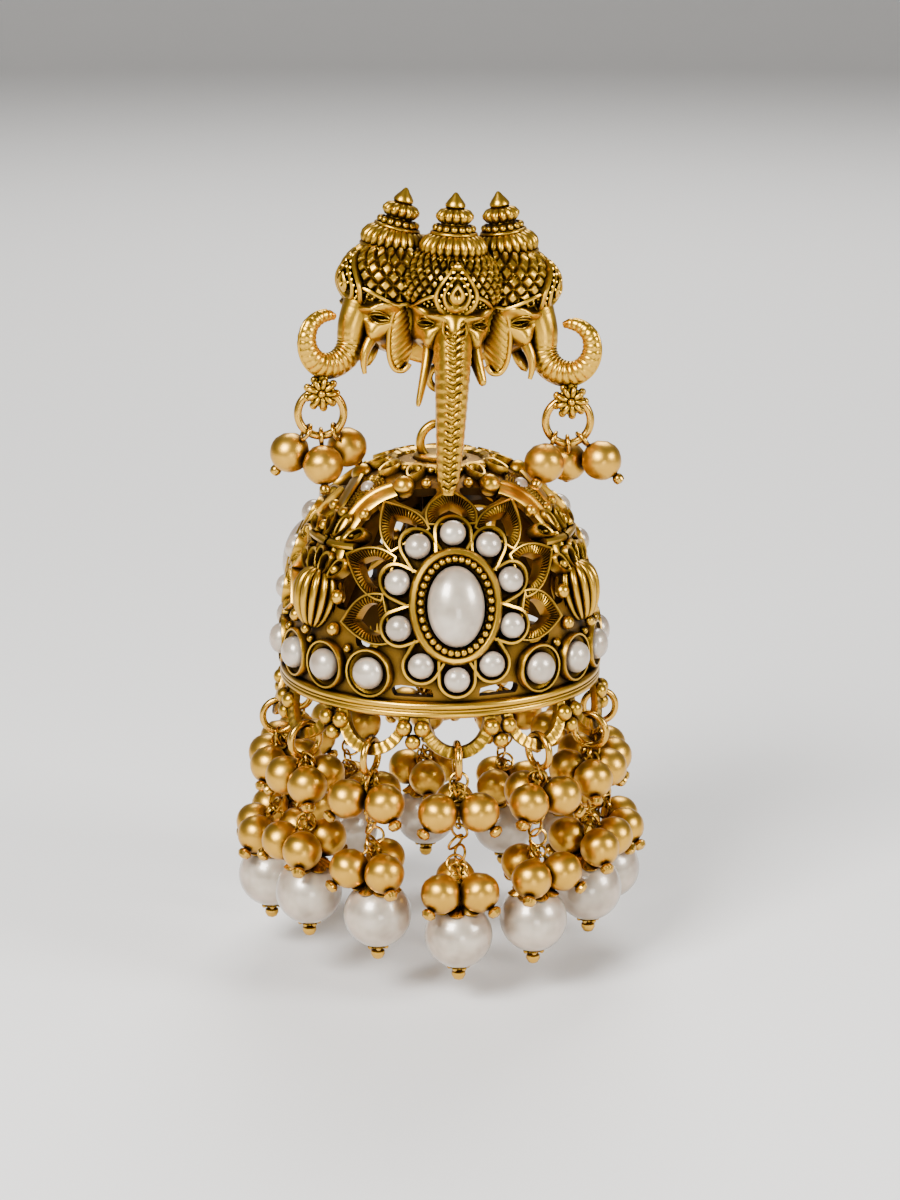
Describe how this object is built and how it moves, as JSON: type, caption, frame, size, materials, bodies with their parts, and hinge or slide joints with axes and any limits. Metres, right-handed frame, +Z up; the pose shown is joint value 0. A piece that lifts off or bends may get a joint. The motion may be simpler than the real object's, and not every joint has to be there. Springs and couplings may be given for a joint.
{
  "type": "jhumka earring",
  "caption": "Bell-shaped pierced drop earring hung from a cast elephant-head ear stud, fringed with beads and round pearls.",
  "frame": {"origin": "on the ear post's axis where it leaves the flat back of the stud", "axes": "+Z up along the hanging drop, +Y backwards along the ear post towards the ear, +X to the viewer's right seen from the front"},
  "size_m": [0.0414, 0.0407, 0.0738],
  "materials": {
    "gold": "antique gold plate, satin, with dark patina in the recesses",
    "pearl": "pearl coat with a soft sheen"
  },
  "bodies": {
    "stud": {"elephant_stud": "gold", "ear_post": "gold", "charm_ring_left": "gold", "charm_ring_right": "gold", "charm_drop_left_1": "gold", "charm_drop_left_2": "gold", "charm_drop_left_3": "gold", "charm_drop_right_1": "gold", "charm_drop_right_2": "gold", "charm_drop_right_3": "gold"},
    "link": {"link": "gold"},
    "drop": {"pierced_dome": "gold", "oval_pearl_1": "pearl", "oval_pearl_2": "pearl", "oval_pearl_3": "pearl", "bead_strand_1": "gold", "bead_strand_2": "gold", "bead_strand_3": "gold", "bead_strand_4": "gold", "bead_strand_5": "gold", "bead_strand_6": "gold", "bead_strand_7": "gold", "bead_strand_8": "gold", "bead_strand_9": "gold", "bead_strand_10": "gold", "bead_strand_11": "gold", "bead_strand_12": "gold", "round_pearl_1": "pearl", "round_pearl_2": "pearl", "round_pearl_3": "pearl", "round_pearl_4": "pearl", "round_pearl_5": "pearl", "round_pearl_6": "pearl", "round_pearl_7": "pearl", "round_pearl_8": "pearl", "round_pearl_9": "pearl", "round_pearl_10": "pearl", "round_pearl_11": "pearl", "round_pearl_12": "pearl"}
  },
  "joints": [
    {"name": "link_swing", "type": "hinge", "parent": "stud", "child": "link", "pos_m": [-0.00047, -0.002, -0.008], "axis": [0, 1, 0], "range_deg": [-4, 4]},
    {"name": "dome_swing", "type": "hinge", "parent": "link", "child": "drop", "pos_m": [-0.00047, -0.002, -0.01222], "axis": [1, 0, 0], "range_deg": [-4, 18]}
  ]
}
